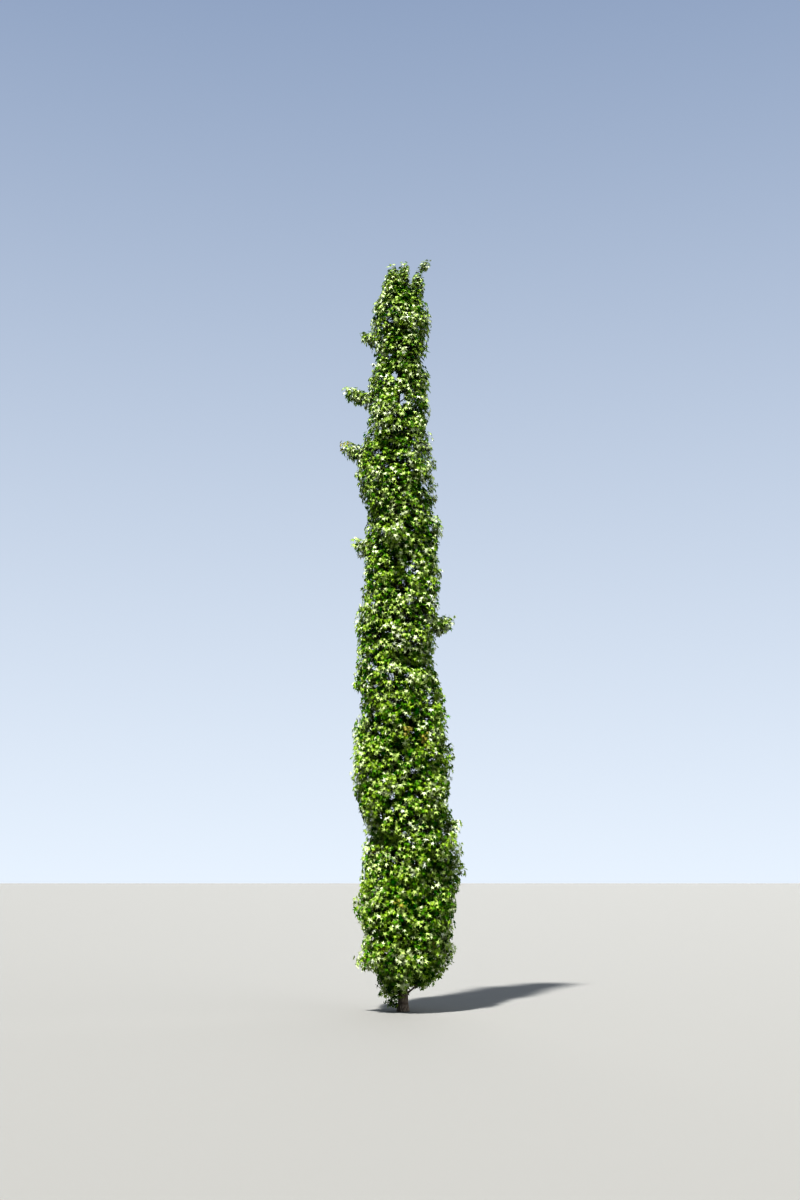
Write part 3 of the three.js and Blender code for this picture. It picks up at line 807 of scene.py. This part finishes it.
RIDGE_SCALES = (34, 34, 5.5)
CRACK_SCALES = (95, 95, 28)
CRACK_START = (0, 0, 7)
RIDGE_SHARPNESS = 2.2
RIDGE_DEPTH = 0.055  # over the trunk's radius, as the next two
CRACK_DEPTH = 0.022
BARK_SINK = 0.03


def bark_relief(point, radius):
    """How far the bark stands out at a point: upright ridges that join and part, with finer cracks."""
    broad = 1 - abs(noise.noise(Vector(point * RIDGE_SCALES)) * RIDGE_SHARPNESS)
    fine = noise.noise(Vector(point * CRACK_SCALES + CRACK_START))
    return radius * (RIDGE_DEPTH * broad + CRACK_DEPTH * fine - BARK_SINK)


TRUNK_SIDES = 56
FINE_HEIGHT = 1.4  # the rings of the trunk stand closer together up to here
FINE_STEP = 0.011
COARSE_STEP = 0.05
TRUNK_CAP = np.array([0, 0, 0.004])


def trunk_mesh():
    sides = TRUNK_SIDES
    low = np.arange(0, FINE_HEIGHT, FINE_STEP)
    high = np.arange(FINE_HEIGHT, TRUNK_TIP_HEIGHT, COARSE_STEP)
    heights = np.array([*low, *high, TRUNK_TIP_HEIGHT])
    angle = 2 * np.pi * np.arange(sides) / sides
    points = []
    for height in heights:
        middle = trunk_axis(height)
        lobes = 1 + FLARE_LOBE_SHARE * math.exp(-height / FLARE_FADE) * np.cos(FLARE_LOBES * angle)
        for turn, radius in zip(angle, trunk_radius(height) * lobes):
            out = np.array([math.cos(turn), math.sin(turn), 0])
            spot = middle + out * radius
            points.append(spot + out * bark_relief(spot, radius))
    rings = len(heights)
    step, side = np.meshgrid(np.arange(rings - 1), np.arange(sides), indexing="ij")
    a = step * sides + side
    b = step * sides + (side + 1) % sides
    faces = np.stack([a, b, b + sides, a, b + sides, a + sides], axis=-1).reshape(-1, 3)
    foot, head = len(points), len(points) + 1
    points += [trunk_axis(0), trunk_axis(TRUNK_TIP_HEIGHT) + TRUNK_CAP]
    last = (rings - 1) * sides
    turns = [(s, (s + 1) % sides) for s in range(sides)]
    caps = [(foot, b, a) for a, b in turns] + [(head, last + a, last + b) for a, b in turns]
    return np.array(points), np.concatenate([faces, np.array(caps)])


LIMB_SIDES = 9
LIMB_TAPER = 0.8
COLLAR = 0.5  # how much thicker a limb is where it leaves the trunk, over its radius
COLLAR_FADE = 0.05
LIMB_ROUGHNESS = 0.0012
LIMB_ROUGHNESS_SCALE = 60


def limb_mesh():
    """Every limb with its stem, tapering, with a collar at the trunk and a rough surface."""
    lines, radii = [], []
    for mass in MASSES:
        line = mass["limb"]
        travelled = np.concatenate([[0], np.cumsum(np.linalg.norm(np.diff(line, axis=0), axis=1))])
        share = travelled / travelled[-1]
        radius = mix(mass["limb_radius"], STEM_TOP_RADIUS, share ** LIMB_TAPER)
        collar = COLLAR * mass["limb_radius"] * np.exp(-travelled / COLLAR_FADE)
        lines.append(line)
        radii.append(radius + collar)
    points, faces = tubes(lines, radii, LIMB_SIDES)
    rough = [noise.noise(Vector(point * LIMB_ROUGHNESS_SCALE)) for point in points]
    return points + np.array(rough)[:, None] * LIMB_ROUGHNESS, faces


# Materials


def material(name, colour, roughness):
    made = bpy.data.materials.new(name)
    made.use_nodes = True
    shader = made.node_tree.nodes["Principled BSDF"]
    shader.inputs["Base Color"].default_value = (*colour, 1)
    shader.inputs["Roughness"].default_value = roughness
    return made


LEAF_ROUGHNESS = 0.42
LEAF_GLOSS = 1.7
MATT_GREEN = 0.08  # leaves as dark as this have no gloss


def leaf_material(name, colour):
    """Light leaves, young ones and those with painted light, are glossy. Dark ones, in painted shade
    further in, have hardly any gloss. All are puckered.
    """
    made = material(name, colour, LEAF_ROUGHNESS)
    nodes, links = made.node_tree.nodes, made.node_tree.links
    shader = nodes["Principled BSDF"]
    gloss = LEAF_GLOSS * max(0, colour[1] - MATT_GREEN)
    shader.inputs["Specular IOR Level"].default_value = gloss
    place = nodes.new("ShaderNodeTexCoord")
    puckers = nodes.new("ShaderNodeTexNoise")
    puckers.inputs["Scale"].default_value = 160
    puckers.inputs["Detail"].default_value = 2
    links.new(place.outputs["Object"], puckers.inputs["Vector"])
    bump = nodes.new("ShaderNodeBump")
    bump.inputs["Strength"].default_value = 0.35
    bump.inputs["Distance"].default_value = 0.003
    links.new(puckers.outputs["Fac"], bump.inputs["Height"])
    links.new(bump.outputs["Normal"], shader.inputs["Normal"])
    return made


def bark_material(name, light, dark, scale):
    """Light upright plates with dark cracks between them, and a grain over both."""
    made = material(name, light, 0.9)
    nodes, links = made.node_tree.nodes, made.node_tree.links
    shader = nodes["Principled BSDF"]
    place = nodes.new("ShaderNodeTexCoord")
    stretch = nodes.new("ShaderNodeMapping")
    stretch.inputs["Scale"].default_value = (scale, scale, scale * 0.18)
    links.new(place.outputs["Object"], stretch.inputs["Vector"])
    plates = nodes.new("ShaderNodeTexVoronoi")
    plates.feature = "DISTANCE_TO_EDGE"
    plates.inputs["Scale"].default_value = 1.0
    links.new(stretch.outputs["Vector"], plates.inputs["Vector"])
    grain = nodes.new("ShaderNodeTexNoise")
    grain.inputs["Scale"].default_value = 2.4
    grain.inputs["Detail"].default_value = 8
    grain.inputs["Roughness"].default_value = 0.65
    links.new(stretch.outputs["Vector"], grain.inputs["Vector"])
    cracks = nodes.new("ShaderNodeMapRange")
    cracks.inputs["From Max"].default_value = 0.40
    links.new(plates.outputs["Distance"], cracks.inputs["Value"])
    both = nodes.new("ShaderNodeMath")
    both.operation = "MULTIPLY"
    links.new(cracks.outputs["Result"], both.inputs[0])
    links.new(grain.outputs["Fac"], both.inputs[1])
    ramp = nodes.new("ShaderNodeValToRGB")
    ramp.color_ramp.elements[0].color = (*dark, 1)
    ramp.color_ramp.elements[1].position = 0.62
    ramp.color_ramp.elements[1].color = (*light, 1)
    links.new(both.outputs["Value"], ramp.inputs["Fac"])
    links.new(ramp.outputs["Color"], shader.inputs["Base Color"])
    bump = nodes.new("ShaderNodeBump")
    bump.inputs["Strength"].default_value = 0.6
    bump.inputs["Distance"].default_value = 0.004
    links.new(both.outputs["Value"], bump.inputs["Height"])
    links.new(bump.outputs["Normal"], shader.inputs["Normal"])
    return made


# The tree


def finish_piece(piece, nodes):
    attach(piece, "root")
    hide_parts(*nodes)


grow_tree()

bark = bark_material("bark", (0.38, 0.33, 0.28), (0.10, 0.080, 0.062), 60)
twig_bark = bark_material("twig_bark", (0.10, 0.08, 0.045), (0.03, 0.022, 0.012), 160)
stalk_green = material("stalk_green", (0.26, 0.30, 0.07), 0.5)
leaf_materials = [leaf_material(name, colour) for name, colour in TINTS]

TWIG_SIDES = 3
TWIG_RADII = np.linspace(0.0048, 0.0020, TWIG_POINTS)
SIDE_SHOOT_RADII = [0.0024, 0.0014]
STALK_RADIUS = 0.0016

finish_piece(mesh_object("trunk_bark", *trunk_mesh(), [bark]), ["trunk"])
bough_nodes = [mass["bough"] for mass in MASSES if mass["bough"]]
finish_piece(mesh_object("bough_bark", *limb_mesh(), [bark]), bough_nodes)
mass_nodes = [mass["name"] for mass in MASSES]
twig_parts = [
    tubes(grown["twigs"], TWIG_RADII, TWIG_SIDES),
    tubes(grown["shoots"], SIDE_SHOOT_RADII, TWIG_SIDES),
]
finish_piece(mesh_object("twigs", *joined(twig_parts), [twig_bark]), mass_nodes)
stalks = spikes(grown["stalks"], STALK_RADIUS)
finish_piece(mesh_object("leaf_stalks", *stalks, [stalk_green]), mass_nodes)


def leaves_mesh(name, leaves, nodes):
    """The leaves of some masses as one piece, each in its own tint."""
    parts, tints = [], []
    for variant, (shape, faces) in enumerate(LEAF_SHAPES):
        some = [leaf for leaf in leaves if leaf.shape == variant]
        foot = np.array([leaf.foot for leaf in some])
        along = np.array([leaf.along for leaf in some])
        facing = np.array([leaf.facing for leaf in some])
        length = np.array([leaf.length for leaf in some])
        side = np.cross(facing, along)
        axes = np.stack([along, side, facing], axis=1)
        points = np.einsum("vk,nkc->nvc", shape, axes) * length[:, None, None] + foot[:, None]
        starts = np.arange(len(some))[:, None, None] * len(shape)
        parts.append((points.reshape(-1, 3), (faces + starts).reshape(-1, 3)))
        tints.append(np.repeat([leaf.tint for leaf in some], len(faces)))
    piece = mesh_object(name, *joined(parts), leaf_materials, np.concatenate(tints), smooth=False)
    finish_piece(piece, nodes)


# The pieces of leaves: name, and the heights between which the middles of their masses lie
SECTIONS = [
    ("leaves_low", 0.0, 1.75),
    ("leaves_lower_middle", 1.75, 3.4),
    ("leaves_middle", 3.4, 5.2),
    ("leaves_upper_middle", 5.2, 7.2),
    ("leaves_high", 7.2, 11.0),
]
for name, low, high in SECTIONS:
    indices = [n for n, mass in enumerate(MASSES) if low <= mass["centre"][2] < high]
    leaves = [leaf for leaf in grown["leaves"] if leaf.mass in indices]
    leaves_mesh(name, leaves, [mass_nodes[n] for n in indices])

# Floor, light and camera

FLOOR_SIZE = 600
FLOOR_COLOUR = (0.15, 0.148, 0.138)
HORIZON_COLOUR = (0.50, 0.54, 0.59, 1)
HIGH_COLOUR = (0.17, 0.22, 0.32, 1)
HIGH_COLOUR_START = 0.75
# Lights: name, strength, breadth in degrees of the sky, colour, and the way that they shine
LIGHTS = [
    ("key", 7.35, 3, (1.0, 0.98, 0.96), (0.24, 0.44, -1.0)),
    ("side", 0.9, 70, (1.0, 1.0, 0.95), (-0.80, 0.35, -0.45)),
    ("back", 0.9, 70, (0.98, 1.0, 0.98), (-0.30, -0.80, -0.50)),
]


def studio_sky():
    """A pale surround that is a little bluer above."""
    world = bpy.data.worlds.new("studio")
    bpy.context.scene.world = world
    world.use_nodes = True
    nodes, links = world.node_tree.nodes, world.node_tree.links
    place = nodes.new("ShaderNodeTexCoord")
    height = nodes.new("ShaderNodeSeparateXYZ")
    links.new(place.outputs["Generated"], height.inputs["Vector"])
    ramp = nodes.new("ShaderNodeValToRGB")
    low, high = ramp.color_ramp.elements
    low.color = HORIZON_COLOUR
    high.position = HIGH_COLOUR_START
    high.color = HIGH_COLOUR
    links.new(height.outputs["Z"], ramp.inputs["Fac"])
    links.new(ramp.outputs["Color"], nodes["Background"].inputs["Color"])


def light_from_far(name, strength, breadth, colour, way):
    light = bpy.data.lights.new(name, "SUN")
    light.energy = strength
    light.angle = math.radians(breadth)
    light.color = colour
    made = bpy.data.objects.new(name, light)
    made.rotation_mode = "QUATERNION"
    made.rotation_quaternion = Vector(way).to_track_quat("-Z", "Y")
    bpy.context.scene.collection.objects.link(made)


bpy.ops.mesh.primitive_plane_add(size=FLOOR_SIZE)
floor = bpy.context.object
floor.name = "floor"
floor.data.materials.append(material("floor_paint", FLOOR_COLOUR, 0.9))

studio_sky()
for light in LIGHTS:
    light_from_far(*light)

camera = bpy.data.cameras.new("camera")
camera.lens = CAMERA_LENS
camera.sensor_width = SENSOR_WIDTH
camera_object = bpy.data.objects.new("camera", camera)
camera_object.location = CAMERA_PLACE
camera_object.rotation_euler = (math.radians(90 + CAMERA_PITCH), 0, 0)
bpy.context.scene.collection.objects.link(camera_object)
bpy.context.scene.camera = camera_object
bpy.context.scene.view_settings.view_transform = "Standard"
bpy.context.scene.view_settings.look = "Very High Contrast"
